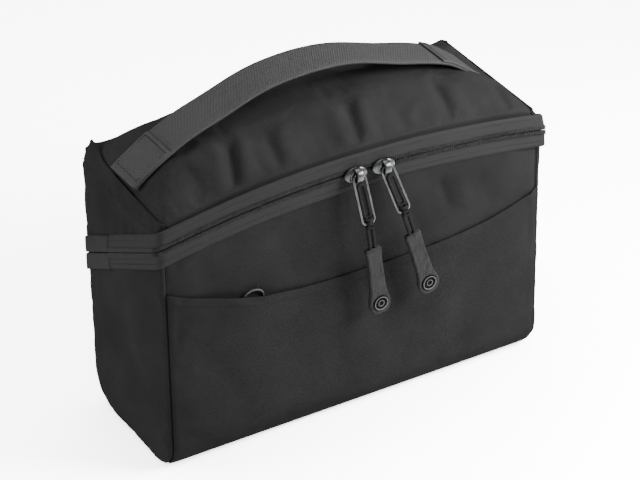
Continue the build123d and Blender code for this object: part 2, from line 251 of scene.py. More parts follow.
def thicken(obj, thick):
    """Adds a solid layer behind a sheet."""
    solid = obj.modifiers.new("thickness", "SOLIDIFY")
    solid.thickness = thick * MM
    solid.offset = -1.0
    solid.use_even_offset = False


def weld(obj, distance):
    """Merges points that lie on each other."""
    modifier = obj.modifiers.new("weld", "WELD")
    modifier.merge_threshold = distance * MM


# ---------------------------------------------------------------- cloth simulation

CLOTHS = []
CLOTH_FRAMES = 20


def sew(obj, pinned, pressure, grow, cap):
    """Prepares a panel for the cloth run: pinned points stay, the rest swells by up to cap millimetres."""
    group = obj.vertex_groups.new(name="sewn")
    group.add([int(i) for i in np.flatnonzero(np.asarray(pinned).ravel())], 1.0, "REPLACE")
    CLOTHS.append((obj, cap))
    cloth = obj.modifiers.new("cloth", "CLOTH")
    settings = cloth.settings
    settings.quality = 5
    settings.mass = 0.05
    settings.tension_stiffness = 12
    settings.compression_stiffness = 12
    settings.shear_stiffness = 5
    settings.bending_stiffness = 0.15
    settings.vertex_group_mass = group.name
    settings.use_pressure = True
    settings.uniform_pressure_force = pressure
    settings.shrink_min = -grow
    settings.effector_weights.gravity = 0
    cloth.collision_settings.use_collision = False
    cloth.point_cache.frame_start = 1
    cloth.point_cache.frame_end = CLOTH_FRAMES


def border(grid, width=1):
    """True on the outer rows and columns of a grid."""
    mask = np.zeros(grid.shape[:2], bool)
    mask[:width] = mask[-width:] = True
    mask[:, :width] = mask[:, -width:] = True
    return mask


def run_cloths():
    """Runs the cloth once for all panels and keeps each point within its cap."""
    scene = bpy.context.scene
    for frame_number in range(1, CLOTH_FRAMES + 1):
        scene.frame_set(frame_number)
    graph = bpy.context.evaluated_depsgraph_get()
    shapes = [points_of(obj.evaluated_get(graph).to_mesh()) for obj, cap in CLOTHS]
    for (obj, cap), shape in zip(CLOTHS, shapes):
        rest = points_of(obj.data)
        step = shape - rest
        size = np.maximum(np.linalg.norm(step, axis=1), 1e-9)[:, None]
        shape = rest + step / size * cap * MM * np.tanh(size / (cap * MM))
        obj.modifiers.remove(obj.modifiers["cloth"])
        obj.data.vertices.foreach_set("co", shape.ravel())
        obj.data.update()
    scene.frame_set(1)


def points_of(mesh):
    """A mesh's points, one row each."""
    flat = np.zeros(len(mesh.vertices) * 3)
    mesh.vertices.foreach_get("co", flat)
    return flat.reshape(-1, 3)


# ---------------------------------------------------------------- building blocks

def join_grids(name, grids):
    """Several grids in one object."""
    points, faces, uvs = [], [], []
    for grid in grids:
        start = sum(len(p) for p in points)
        rows, cols = grid.shape[:2]
        faces += grid_faces(rows, cols, start)
        points.append(grid.reshape(-1, 3))
        uvs.append(grid_uv(grid))
    obj = mesh_object(name, np.concatenate(points), faces, np.concatenate(uvs))
    weld(obj, 0.02)
    return obj


def tube(path, radius, sides=12, closed=False):
    """Round tube along a path, as a grid; its frame is carried along without twisting."""
    path = np.asarray(path, float)
    if closed:
        ahead, behind = np.roll(path, -1, axis=0), np.roll(path, 1, axis=0)
        tangents = ahead - behind
    else:
        tangents = np.gradient(path, axis=0)
    tangents /= np.linalg.norm(tangents, axis=1)[:, None]
    normal = np.cross(tangents[0], (0.31, 0.9, 0.3))
    radii = np.broadcast_to(radius, len(path))
    rings = []
    for point, tangent, r in zip(path, tangents, radii):
        normal = normal - tangent * normal.dot(tangent)
        normal /= np.linalg.norm(normal)
        other = np.cross(tangent, normal)
        rings.append([point + r * (math.cos(a) * normal + math.sin(a) * other)
                      for a in spread(0, 2 * math.pi, sides + 1)])
    if closed:
        rings.append(rings[0])
    return np.array(rings)


def finish_piece(obj, body, material, slot_name, *nodes):
    """Gives a piece its material and its body, and hides the CAD nodes it stands for; slot_name is not used.
    """
    obj.data.materials.clear()
    obj.data.materials.append(material)
    if body:
        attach(obj, body)
    if nodes:
        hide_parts(*nodes)
    return obj


# ---------------------------------------------------------------- materials

class Nodes:
    """Small helper that adds and links shader nodes."""

    def __init__(self, name):
        self.material = bpy.data.materials.new(name)
        self.material.use_nodes = True
        self.tree = self.material.node_tree
        self.shader = self.tree.nodes["Principled BSDF"]

    def add(self, kind, **sockets):
        node = self.tree.nodes.new(kind)
        for key, value in sockets.items():
            self.set(node, key, value)
        return node

    def set(self, node, key, value):
        socket = node.inputs[int(key[1:])] if key[0] == "i" and key[1:].isdigit() else node.inputs[key]
        if hasattr(value, "links"):
            self.tree.links.new(value, socket)
        else:
            socket.default_value = value

    def math(self, operation, a, b=0.0, c=0.0):
        node = self.add("ShaderNodeMath", i0=a, i1=b, i2=c)
        node.operation = operation
        return node.outputs[0]

    def uv(self):
        coordinate = self.add("ShaderNodeTexCoord")
        parts = self.add("ShaderNodeSeparateXYZ", Vector=coordinate.outputs["UV"])
        return parts.outputs[0], parts.outputs[1]

    def place(self):
        return self.add("ShaderNodeTexCoord").outputs["Object"]

    def noise(self, vector, scale, detail=2.0, rough=0.5):
        node = self.add("ShaderNodeTexNoise", Scale=scale, Detail=detail, Roughness=rough, Vector=vector)
        return node.outputs["Fac"]

    def wave(self, value, pitch, phase=0.0):
        """Sine of one coordinate; pitch in the coordinate's own unit."""
        turned = self.math("MULTIPLY_ADD", value, 2 * math.pi / pitch, phase)
        return self.math("SINE", turned)

    def colour(self, factor, dark, light, low=0.0, high=1.0):
        ramp = self.add("ShaderNodeValToRGB", Fac=factor)
        ramp.color_ramp.elements[0].position = low
        ramp.color_ramp.elements[0].color = (*dark, 1)
        ramp.color_ramp.elements[1].position = high
        ramp.color_ramp.elements[1].color = (*light, 1)
        return ramp.outputs["Color"]

    def bump(self, height, distance, strength=1.0, normal=None):
        node = self.add("ShaderNodeBump", Height=height, Distance=distance * MM, Strength=strength)
        if normal is not None:
            self.set(node, "Normal", normal)
        return node.outputs["Normal"]

    def finish(self, colour, roughness, normal=None, **fixed):
        self.set(self.shader, "Base Color", colour)
        self.set(self.shader, "Roughness", roughness)
        if normal is not None:
            self.set(self.shader, "Normal", normal)
        for key, value in fixed.items():
            self.set(self.shader, key.replace("_", " "), value)
        return self.material


def grey(level, tint=0.0):
    return (level * (1 - tint), level, level * (1 + tint))


def woven(name, level, pitch=0.15):
    """Fine twill with slubs and faint fading; pitch in centimetres."""
    n = Nodes(name)
    u, v = n.uv()
    fine = n.math("MULTIPLY", n.wave(u, 0.062), n.wave(v, 0.062))
    twill = n.wave(n.math("MULTIPLY_ADD", v, 0.9, u), pitch)
    weave = n.math("MULTIPLY_ADD", fine, 0.5, twill)
    slub = n.noise(n.place(), 1100.0, 3.0, 0.65)
    cloud = n.noise(n.place(), 26.0, 3.0, 0.55)
    fading = n.math("MULTIPLY_ADD", cloud, 0.4, n.math("MULTIPLY", slub, 0.6))
    mixed = n.math("MULTIPLY_ADD", weave, 0.11, fading)
    tone = n.colour(mixed, grey(level * 0.58), grey(level * 1.42), 0.25, 0.75)
    height = n.math("MULTIPLY_ADD", slub, 0.8, n.math("MULTIPLY", weave, 0.5))
    normal = n.bump(height, 0.10, 0.8)
    wide = n.bump(cloud, 1.6, 0.35, normal)
    roughness = n.math("MULTIPLY_ADD", slub, 0.14, 0.8 - 0.07)
    return n.finish(tone, roughness, wide, Specular_IOR_Level=0.0)


def webbing_material(name, level):
    """Ribbed strap: ridges along the length crossed by fine picks."""
    n = Nodes(name)
    u, v = n.uv()
    column = n.wave(u, 0.19)
    rib = n.wave(n.math("MULTIPLY_ADD", n.math("SIGN", column), 0.03, v), 0.125)
    weave = n.math("MULTIPLY_ADD", rib, 0.75, n.math("MULTIPLY", column, 0.3))
    slub = n.noise(n.place(), 900.0, 3.0, 0.6)
    factor = n.math("MULTIPLY_ADD", weave, 0.22, n.math("MULTIPLY_ADD", slub, 0.5, 0.25))
    tone = n.colour(factor, grey(level * 0.42), grey(level * 1.55), 0.22, 0.82)
    normal = n.bump(n.math("MULTIPLY_ADD", slub, 0.5, weave), 0.22, 0.9)
    return n.finish(tone, 0.72, normal, Specular_IOR_Level=0.0)


def herringbone(name, level):
    """Zip tape woven in a herringbone."""
    n = Nodes(name)
    u, v = n.uv()
    zigzag = n.math("PINGPONG", v, 0.17)
    ribs = n.wave(n.math("MULTIPLY_ADD", zigzag, 0.9, u), 0.115)
    slub = n.noise(n.place(), 1300.0, 3.0, 0.6)
    factor = n.math("MULTIPLY_ADD", ribs, 0.2, n.math("MULTIPLY_ADD", slub, 0.5, 0.25))
    tone = n.colour(factor, grey(level * 0.55), grey(level * 1.5), 0.22, 0.8)
    normal = n.bump(n.math("MULTIPLY_ADD", slub, 0.4, ribs), 0.12, 0.8)
    return n.finish(tone, 0.78, normal, Specular_IOR_Level=0.0)


def nylon(name, level, rough=0.42):
    """Slightly shiny nylon for the coil and the thread."""
    n = Nodes(name)
    grain = n.noise(n.place(), 700.0, 2.0)
    tone = n.colour(grain, grey(level * 0.7), grey(level * 1.35), 0.3, 0.7)
    return n.finish(tone, rough, n.bump(grain, 0.03, 0.6), Specular_IOR_Level=0.0)


def brushed_lining(name, level):
    """Looped, brushed lining with a fuzzy surface."""
    n = Nodes(name)
    fuzz = n.noise(n.place(), 520.0, 5.0, 0.7)
    cloud = n.noise(n.place(), 40.0, 2.0)
    factor = n.math("MULTIPLY_ADD", cloud, 0.4, n.math("MULTIPLY", fuzz, 0.6))
    tone = n.colour(factor, grey(level * 0.6), grey(level * 1.5), 0.3, 0.7)
    return n.finish(tone, 0.95, n.bump(fuzz, 0.5, 0.9), Sheen_Weight=0.15, Sheen_Roughness=0.6,
                    Specular_IOR_Level=0.15)


def metal(name, level, rough, tint=0.02):
    """Plated metal with fine scuffs."""
    n = Nodes(name)
    scuff = n.noise(n.place(), 900.0, 4.0, 0.7)
    patch = n.noise(n.place(), 160.0, 2.0)
    tone = n.colour(patch, grey(level * 0.8, tint), grey(level * 1.2, tint), 0.35, 0.65)
    roughness = n.math("MULTIPLY_ADD", scuff, 0.22, rough - 0.1)
    return n.finish(tone, roughness, n.bump(scuff, 0.02, 0.5), Metallic=1.0)


def rubber(name, level):
    """Moulded rubber with fine drawn streaks along the tab."""
    n = Nodes(name)
    mapping = n.add("ShaderNodeMapping", Vector=n.place(), Scale=(1.0, 1.0, 0.07))
    streak = n.noise(mapping.outputs[0], 1500.0, 3.0, 0.6)
    speck = n.noise(n.place(), 1100.0, 2.0)
    factor = n.math("MULTIPLY_ADD", streak, 0.75, n.math("MULTIPLY", speck, 0.25))
    tone = n.colour(factor, grey(level * 0.55), grey(level * 1.6), 0.32, 0.7)
    roughness = n.math("MULTIPLY_ADD", streak, 0.2, 0.42)
    return n.finish(tone, roughness, n.bump(factor, 0.06, 0.7), Specular_IOR_Level=0.0)


def braid(name, level):
    """Braided cord: crossing yarns along the length."""
    n = Nodes(name)
    place = n.place()
    yarn = n.add("ShaderNodeTexVoronoi", Scale=1500.0, Vector=place).outputs["Distance"]
    slub = n.noise(place, 900.0, 2.0)
    factor = n.math("MULTIPLY_ADD", yarn, 0.6, n.math("MULTIPLY", slub, 0.4))
    tone = n.colour(factor, grey(level * 1.5), grey(level * 0.5), 0.25, 0.7)
    return n.finish(tone, 0.7, n.bump(yarn, -0.12, 0.8), Specular_IOR_Level=0.0)


def moulded(name, level, rough=0.3):
    """Smooth moulded plastic with a very fine grain."""
    n = Nodes(name)
    grain = n.noise(n.place(), 1800.0, 2.0)
    tone = n.colour(grain, grey(level * 0.85), grey(level * 1.15), 0.3, 0.7)
    return n.finish(tone, rough, n.bump(grain, 0.015, 0.5), Specular_IOR_Level=0.0)


def floor_material():
    n = Nodes("floor_paper")
    fibre = n.noise(n.place(), 60.0, 3.0)
    tone = n.colour(fibre, (0.93, 0.93, 0.93), (0.95, 0.95, 0.95), 0.3, 0.7)
    return n.finish(tone, 0.9, None, Specular_IOR_Level=0.0, Emission_Color=(1, 1, 1, 1),
                    Emission_Strength=2.0)


SHELL = woven("shell_cloth", 0.0039)
# the lid's top is the body's shell cloth made lighter: painted light on the top that faces the lamps
SHELL_TOP_PAINTED_LIGHTER = woven("lid_cloth_painted_lighter", 0.0046)
SHELL_END = woven("zip_end_cloth", 0.0056, 0.1)
TAPE = herringbone("zip_tape_cloth", 0.0062)
COIL = nylon("zip_coil_nylon", 0.0085, 0.55)
THREAD = nylon("sewing_thread", 0.006, 0.6)
WEBBING = webbing_material("strap_webbing", 0.0125)
LINING = brushed_lining("brushed_lining", 0.011)
HOOKS = brushed_lining("hook_tape", 0.004)
SLIDER_METAL = metal("slider_metal", 0.018, 0.30)
RING_METAL = metal("ring_metal", 0.024, 0.26)
RUBBER = rubber("tab_rubber", 0.0062)
CORD = braid("pull_cord_braid", 0.004)
LOOP_CORD = braid("pocket_loop_braid", 0.016)
BADGE = moulded("badge_black", 0.0015)
BADGE_LINE = moulded("badge_line", 0.022, 0.35)


# ---------------------------------------------------------------- body panels

def front_rows(x):
    """Front panel's line from under the base up to the zip, at one x."""
    low = arc(FRONT_BEND_Y, FRONT_BOTTOM_R, FRONT_BOTTOM_R, -90, -180, 7)
    top = float(zip_z(x, -HALF_DEPTH, -1.0))
    return [(x, y, z) for y, z in low] + [(x, -HALF_DEPTH, z) for z in spread(FRONT_BOTTOM_R, top, 64)[1:]]


def panel(name, grid, pinned, swell, body, node, flip=False, material=None):
    """Sewn cloth panel; swell is its pressure, growth and cap in the cloth run."""
    obj = grid_object(name, grid, flip)
    sew(obj, pinned, *swell)
    return finish_piece(obj, body, material or SHELL, "shell_cloth", node)


def front_panel():
    """Front cloth: padded, with folds below the zip and a hollow behind the pocket's gape."""
    grid = np.array([front_rows(x) for x in spread(-SEAM_X, SEAM_X, 107)]).transpose(1, 0, 2)
    x, z = grid[..., 0], grid[..., 2]
    inside = smooth_step((SEAM_X - np.abs(x)) / 26) * smooth_step((z - 8) / 20)
    puff = (0.8 + 0.4 * ripple(x, 0 * x, z, 24.0, 1.7)) * inside
    folds = creases(x, z, (1.9, 58, 151, 66, 128, 3.2), (1.4, 33, 141, 46, 113, 6.0),
                    (1.3, 84, 146, 99, 119, 7.0), (1.0, -58, 150, -46, 120, 8.0),
                    (1.0, -112, 150, -104, 128, 7.0), (-1.2, 70, 152, 79, 124, 5.0),
                    (-1.1, 22, 140, 34, 112, 6.0))
    hollow = 1.5 * np.exp(-((x + 84) / 20) ** 2 - ((z - 112) / 11) ** 2)
    grid[..., 1] += folds * inside + hollow + seam_tuck(SEAM_X - np.abs(x)) - puff
    behind_pocket = z < 96
    return panel("front_cloth", grid, border(grid, 2) | behind_pocket, (1.2, 0.012, 1.6), "bag_body",
                 "front_panel")


def side_profile(z):
    """Front and back ends of the side panel at one height."""
    front_reach = math.sqrt(FRONT_BOTTOM_R ** 2 - max(FRONT_BOTTOM_R - z, 0.0) ** 2)
    back_reach = math.sqrt(BACK_BOTTOM_R ** 2 - max(BACK_BOTTOM_R - z, 0.0) ** 2)
    return FRONT_BEND_Y - front_reach, BACK_BEND_Y + back_reach


def rim_distance(y, z):
    """Distance inwards from the side panel's rounded outline."""
    if y < FRONT_BEND_Y and z < FRONT_BOTTOM_R:
        return FRONT_BOTTOM_R - math.hypot(y - FRONT_BEND_Y, z - FRONT_BOTTOM_R)
    if y > BACK_BEND_Y and z < BACK_BOTTOM_R:
        return BACK_BOTTOM_R - math.hypot(y - BACK_BEND_Y, z - BACK_BOTTOM_R)
    return min(y + HALF_DEPTH, HALF_DEPTH - y, z)


def gusset(name, side):
    """Side cloth, rounded over to the front, base and back seams."""
    rows = []
    for s in np.concatenate([GUSSET_LOW_ROWS, spread(0.055, 1, 62)]):
        row = []
        for t in spread(0, 1, 59):
            u = t - 0.82 * math.sin(2 * math.pi * t) / (2 * math.pi)
            y = -HALF_DEPTH + 2 * HALF_DEPTH * u
            for _ in range(3):
                z = s * float(zip_z(HALF_WIDTH, y, -1.0))
                front, back = side_profile(z)
                y = front + (back - front) * u
            d = min(max(rim_distance(y, z), 0.0), CORNER_R)
            row.append((side * (SEAM_X + math.sqrt(CORNER_R ** 2 - (CORNER_R - d) ** 2)), y, z))
        rows.append(row)
    grid = np.array(rows)
    x, y, z = grid[..., 0], grid[..., 1], grid[..., 2]
    depth = np.minimum(np.minimum(y + HALF_DEPTH, HALF_DEPTH - y), z)
    inner = smooth_step((depth - 1) / 22)
    top = smooth_step((zip_z(x, y, -12) - z) / 14)
    puff = top * (1.2 + 0.7 * ripple(x, y, z, 21.0, 2.3 + side))
    folds = creases(y, z, (1.2, -34, 120, -22, 70, 8.0), (-1.5, 4, 118, -6, 62, 9.0),
                    (1.0, 26, 84, 20, 34, 9.0), (-1.0, -22, 60, -8, 18, 9.0))
    fullness, cap = (1.0, 1.6) if side < 0 else (0.4, 0.6)
    grid[..., 0] += side * (inner * (puff + folds) * fullness - seam_tuck(depth, 0.8, 1.2))
    return panel("gusset_cloth_" + name, grid, border(grid, 3), (0.8, 0.008, cap), "bag_body",
                 "gusset_" + name, flip=side < 0)


def back_panel():
    """Back cloth from the base over the hinge to the lid's top edge."""
    columns = []
    for x in spread(-SEAM_X, SEAM_X, 81):
        line = [(x, y, z) for y, z in arc(BACK_BEND_Y, BACK_BOTTOM_R, BACK_BOTTOM_R, -90, 0, 10)]
        top = float(lid_z(x, HALF_DEPTH)) - 0.5
        columns.append(line + [(x, HALF_DEPTH, z) for z in spread(BACK_BOTTOM_R, top, 60)[1:]])
    grid = np.array(columns).transpose(1, 0, 2)
    x, z = grid[..., 0], grid[..., 2]
    inside = smooth_step((SEAM_X - np.abs(x)) / 25)
    inside = inside * smooth_step((z - 12) / 20) * smooth_step((186 - z) / 14)
    fold = 1.4 * np.exp(-((z - HINGE_Z) / 3.0) ** 2)
    puff = 1.0 + 0.6 * ripple(x, 0 * x, z, 27.0, 4.1)
    grid[..., 1] += inside * (puff - fold) - seam_tuck(SEAM_X - np.abs(x))
    obj = grid_object("back_cloth", grid, flip=True)
    hinge_rows = np.abs(z - HINGE_Z) < 3
    sew(obj, border(grid, 2) | hinge_rows, 0.8, 0.008, 1.5)
    return obj


def hang_back_panel(obj):
    """Bakes the back cloth's placement into its mesh, gives it the shell cloth and hides the CAD back panels.
    """
    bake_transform(obj)
    finish_piece(obj, None, SHELL, "shell_cloth", "back_panel", "lid_back_panel")


def base_panel():
    """Base cloth, nearly flat on the floor."""
    grid = np.array([[(x, y, 0.0) for x in spread(-SEAM_X, SEAM_X, 41)]
                     for y in spread(BASE_FRONT_Y, BASE_BACK_Y, 16)])
    x, y = grid[..., 0], grid[..., 1]
    inside = smooth_step((SEAM_X - np.abs(x)) / 30)
    grid[..., 2] += 0.25 * inside * (1 + ripple(x, y, 0, 30.0, 0.4)) + 0.02
    obj = grid_object("base_cloth", grid, flip=True)
    thicken(obj, BASE_THICK)
    finish_piece(obj, "bag_body", SHELL, "shell_cloth", "base_panel")


def mouth_z(x):
    """Scooped upper edge of the pocket."""
    x = np.asarray(x)
    return 104.6 + 19.0 * np.abs((x - 10) / 128) ** 2.6 + 2.2 * np.exp(-((x + 92) / 34) ** 2)


def pocket():
    """Slip pocket: hemmed scooped mouth that gapes a little at the left."""
    half = 131.6
    columns = []
    for x in spread(-half, half, 133):
        top = float(mouth_z(x))
        line = []
        for z in [*spread(1.5, 11.0, 6), *spread(12.5, top - 9, 50), *spread(top - 8.2, top, 11)]:
            drop = max(FRONT_BOTTOM_R - z, 0)
            line.append((x, FRONT_BEND_Y - math.sqrt((FRONT_BOTTOM_R + 1.8) ** 2 - drop ** 2), z))
        columns.append(line)
    grid = np.array(columns).transpose(1, 0, 2)
    x, z = grid[..., 0], grid[..., 2]
    from_mouth = mouth_z(x) - z
    edge = smooth_step((half - np.abs(x)) / 22)
    full = smooth_step((z - 6) / 26) * edge
    gape = 3.0 * np.exp(-((x + 80) / 17) ** 2) * np.exp(-(from_mouth / 20) ** 2)
    hem = 0.35 * smooth_step((6.6 - from_mouth) / 0.8) * smooth_step(edge * 6)
    folds = creases(x, z, (1.2, 112, 108, 82, 44, 12.0), (1.0, -112, 104, -96, 46, 13.0),
                    (0.7, 20, 96, 44, 30, 16.0))
    puff = 1.0 + 0.4 * ripple(x, 0 * x, z, 26.0, 5.2) - folds
    grid[..., 1] -= puff * full + gape + hem - seam_tuck(half - np.abs(x), 1.0)
    pinned = border(grid, 2)
    pinned[-2:, 2:-2] = False
    return panel("pocket_cloth", grid, pinned, (0.5, 0.004, 1.6), "bag_body", "pocket_panel")


# ---------------------------------------------------------------- lid

def lid_top():
    """Domed top cloth with soft puckers above the zip."""
    rows = []
    for y in [-50, -49.7, -49.0, -48.0, *spread(-46.6, 46.6, 66), 48, 49.0, 49.7, 50]:
        t = spread(-1, 1, 127)
        xs = float(edge_x(y)) * (0.62 * t + 0.38 * np.sin(t * math.pi / 2))
        rows.append([(x, y, float(lid_z(x, y))) for x in xs])
    grid = np.array(rows)
    x, y = grid[..., 0], grid[..., 1]
    reach = np.minimum(LID_SHOULDER_X - np.abs(x), HALF_DEPTH - np.abs(y))
    beside_strap = smooth_step((np.abs(y) - 14) / 6) + smooth_step((92 - np.abs(x)) / 10)
    free = smooth_step(reach / 6) * np.clip(beside_strap, 0, 1)
    folds = creases(x, y, (3.0, -82, -52, -66, -22, 4.0), (2.0, -46, -52, -40, -26, 4.0),
                    (2.8, 9, -52, 18, -22, 3.8), (2.2, 74, -52, 80, -22, 3.8),
                    (1.8, 116, -50, 120, -24, 3.6), (1.2, 42, -52, 46, -32, 4.5),
                    (1.4, -108, -48, -96, -26, 5.0), (1.4, 40, 50, 34, 22, 5.0),
                    (1.4, -50, 50, -44, 22, 5.0))
    ridges = creases(x, y, (2.2, -92, -52, -76, -20, 6.0), (2.0, -71, -52, -56, -22, 5.5),
                     (1.8, 18, -52, 27, -22, 5.5), (1.6, 0, -52, 8, -22, 5.5), (1.6, 83, -52, 90, -23, 5.5),
                     (1.2, -36, -52, -30, -24, 6.0))
    grid[..., 2] += free * (0.7 * ripple(x, y, 0 * x, 26.0, 0.9) + ridges - folds + 0.5)
    grid[..., 2] -= seam_tuck(np.maximum(LID_SHOULDER_X - np.abs(x), 0), 1.1, 1.5)
    skirt = [grid[0] - np.array([0, 0, d]) for d in (7.0, 5.0, 3.0, 1.5)]
    grid = np.concatenate([skirt, grid])
    under_strap = (np.abs(grid[..., 1]) < 15) & (np.abs(grid[..., 0]) > 92)
    pinned = border(grid, 2) | under_strap
    pinned[:6] = True
    # the top gets the lighter copy of the shell cloth, painted light for its upward face
    return panel("lid_top_cloth", grid, pinned, (1.6, 0.014, 2.6), "lid", "lid_top_panel",
                 material=SHELL_TOP_PAINTED_LIGHTER)


def side_plan(t):
    """Point on the lid's side outline: t from 0 at the front seam to 1 at the back seam."""
    bend = CORNER_R * math.pi / 2
    straight = 2 * (HALF_DEPTH - CORNER_R)
    s = t * (2 * bend + straight)
    y = -HALF_DEPTH + CORNER_R + min(max(s - bend, 0.0), straight)
    past = s - bend - straight
    a = math.pi / 2 + past / CORNER_R if past >= 0 else min(s / CORNER_R, math.pi / 2)
    return HALF_WIDTH - CORNER_R + CORNER_R * math.sin(a), y - CORNER_R * math.cos(a)


def lid_side(name, side):
    """Side cloth between the zip band and the top seam; on the left, with the folded corner at the back."""
    columns = []
    for t in spread(0, 1, 67):
        px, py = side_plan(t - 0.6 * math.sin(2 * math.pi * t) / (2 * math.pi))
        low = float(zip_z(px, py, 1.2))
        high = max(float(seam_z(py)), low + 1.0)
        columns.append([(side * (px + float(lean_x(z)) - HALF_WIDTH), py, z) for z in spread(low, high, 40)])
    grid = np.array(columns).transpose(1, 0, 2)
    x, y, z = grid[..., 0], grid[..., 1], grid[..., 2]
    rows = spread(0, 1, grid.shape[0])[:, None] * np.ones(grid.shape[1])[None]
    middle = np.sin(rows * math.pi) * smooth_step((HALF_DEPTH - np.abs(y)) / 10)
    bulge = 1.3 * crease(y, z, 18, 172, 30, 140, 8.0)
    puff = middle * (1.2 + 0.8 * ripple(x, y, z, 17.0, 6.0 + side) + bulge)
    pleats = creases(y, z, (1.2, -14, 166, -8, 149, 1.8), (-0.96, -18, 166, -13, 148, 2.4),
                     (0.9, -2, 160, 3, 145, 2.2))
    ridge = 0.7 * np.exp(-(1 - rows) * 28)
    ear = np.exp(-((y - 42) / 9.5) ** 2) * smooth_step((rows - 0.72) / 0.28) if side < 0 else 0 * rows
    curl = 1.2 - 3.2 * smooth_step((rows - 0.9) / 0.1)
    grid[..., 0] += side * (puff - pleats + ridge + curl * ear)
    grid[..., 2] += 4.6 * ear
    cap = 1.4 if side < 0 else 0.6
    return panel("lid_side_cloth_" + name, grid, border(grid, 2), (1.0, 0.008, cap), "lid",
                 "lid_side_" + name, flip=side < 0)


# ---------------------------------------------------------------- padding and lining

def tub_loop(d, z_of, y_back=None, radius=3.0):
    """Closed loop seen from above at inset d; z_of gives each point's height."""
    x1 = HALF_WIDTH - d - radius
    y0 = -HALF_DEPTH + d + radius
    y1 = (HALF_DEPTH - d if y_back is None else y_back) - radius
    line = rounded_loop([(x1, y0, -90), (x1, y1, 0), (-x1, y1, 90), (-x1, y0, 180)], radius, 6, (14, 34))
    return [(x, y, z_of(x, y)) for x, y in [*line, line[0]]]


def rim_loops(sign):
    """Loops of lining turned over the padding's rim: below the zip for -1, above it for 1."""
    turnover = ((1.5, 1.4), (1.7, 1.1), (3.0, 0.8), (5.5, 0.7), (WALL - 1.4, 0.9), (WALL - 0.4, 1.3),
                (WALL, 2.4))
    return [tub_loop(d, lambda x, y, s=step: float(zip_z(x, y, sign * s)), radius=2.5)
            for d, step in turnover]


def body_lining():
    """Brushed lining of the body, turned over the padding's rim."""
    loops = rim_loops(-1)
    level = 30.0
    for share in spread(1.0, 0.0, 24)[1:]:
        loops.append(tub_loop(WALL, lambda x, y, s=share: level + (float(zip_z(x, y, -2.4)) - level) * s))
    back_r = BACK_BOTTOM_R - WALL
    for z in (24, 19, 15, 12, 10.2, LINING_FLOOR_Z):
        drop = max(WALL + back_r - z, 0)
        back = BACK_BEND_Y + math.sqrt(max(back_r ** 2 - drop ** 2, 0))
        loops.append(tub_loop(WALL + max(0, 10.6 - z), lambda x, y, h=z: h, y_back=back))
    centre = np.array([0, -9.0, LINING_FLOOR_Z])
    for share in (0.7, 0.571, 0.25, 0.004):
        loops.append([tuple(centre + (np.array(p) - centre) * share) for p in loops[-1]])
    obj = grid_object("body_lining_cloth", np.array(loops))
    finish_piece(obj, "bag_body", LINING, "lining_cloth", "body_lining", "foam_front", "foam_back",
                 "foam_left", "foam_right", "foam_base", "base_board")


def lid_lining():
    """Brushed lining of the lid, turned over the padding's rim."""
    loops = rim_loops(1)

    def ceiling(x, y):
        return float(dome_z(x * 0.98, y * 0.98)) - 11.0

    def rising(x, y, share):
        low = float(zip_z(x, y, 2.4))
        return low + (ceiling(x, y) - 3 - low) * share

    for share in spread(0.0, 1.0, 16)[1:]:
        loops.append(tub_loop(WALL, lambda x, y, s=share: rising(x, y, s)))
    for share in (0.97, 0.9, 0.78, 0.6, 0.4, 0.2, 0.04, 0.001):
        shrunk = [(x * share, y * share) for x, y, _ in tub_loop(WALL, ceiling)]
        loops.append([(x, y, ceiling(x, y)) for x, y in shrunk])
    obj = grid_object("lid_lining_cloth", np.array(loops), flip=True)
    finish_piece(obj, "lid", LINING, "lining_cloth", "lid_lining", "lid_foam")


def divider(name, x0):
    """Padded divider with rounded edges and soft faces."""
    low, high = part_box("divider_" + name)
    y0, y1 = low[1] / MM, high[1] / MM
    r = BACK_BOTTOM_R - WALL - 1.2
    z0 = 10.9

    def top(y):
        return float(zip_z(x0, y, -DIVIDER_DROP))

    outline = [(y0, z) for z in spread(top(y0), z0 + 1.5, 22)]
    outline += [(y, z0) for y in spread(y0 + 1.5, y1 - r, 12)]
    outline += [tuple(p) for p in arc(y1 - r, z0 + r, r, -90, 0, 9)[1:]]
    outline += [(y1, z) for z in spread(z0 + r, top(y1), 14)[1:]]
    outline += [(y, top(y)) for y in spread(y1, y0, 16)[1:-1]]
    outline = np.array(outline)
    centre = outline.mean(axis=0)
    half_section = [(3.5, 0.03), (3.5, 0.5), (3.4, 0.9), (2.6, 0.97), (0.7, 0.992)]
    layers = [(-dx, share) for dx, share in half_section] + [(0.0, 0.985)] + half_section[::-1]
    columns = []
    for dx, share in layers:
        ring = centre + (outline - centre) * share
        columns.append([(x0 + dx, y, z) for y, z in [*ring, ring[0]]])
    obj = grid_object("divider_pad_" + name, np.array(columns), leaning=False)
    finish_piece(obj, "divider_body_" + name, LINING, "lining_cloth", "divider_" + name)
    for end in ("front", "back"):
        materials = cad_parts["divider_hooks_" + end + "_" + name].data.materials
        materials.clear()
        materials.append(HOOKS)


# ---------------------------------------------------------------- zip

def zip_path(back_y, step=2.4):
    """Plan points and outward normals round the front and sides, from left back to right back."""
    cx, cy = HALF_WIDTH - CORNER_R, -HALF_DEPTH + CORNER_R
    side_count = max(int((back_y - cy) / step), 4)
    front_count = int(2 * cx / step)

    def straight(first, last, count, normal):
        return np.linspace(first, last, count), np.tile(normal, (count, 1))

    def corner(x, start):
        normals = arc(0, 0, 1.0, start, start + 90, 9)
        return np.array((x, cy)) + CORNER_R * normals, normals

    runs = [straight((-HALF_WIDTH, back_y), (-HALF_WIDTH, cy), side_count, (-1.0, 0.0)), corner(-cx, 180),
            straight((-cx, -HALF_DEPTH), (cx, -HALF_DEPTH), front_count, (0.0, -1.0)), corner(cx, 270),
            straight((HALF_WIDTH, cy), (HALF_WIDTH, back_y), side_count, (1.0, 0.0))]
    points = np.concatenate([run[0][k > 0:] for k, run in enumerate(runs)])
    normals = np.concatenate([run[1][k > 0:] for k, run in enumerate(runs)])
    return points, normals


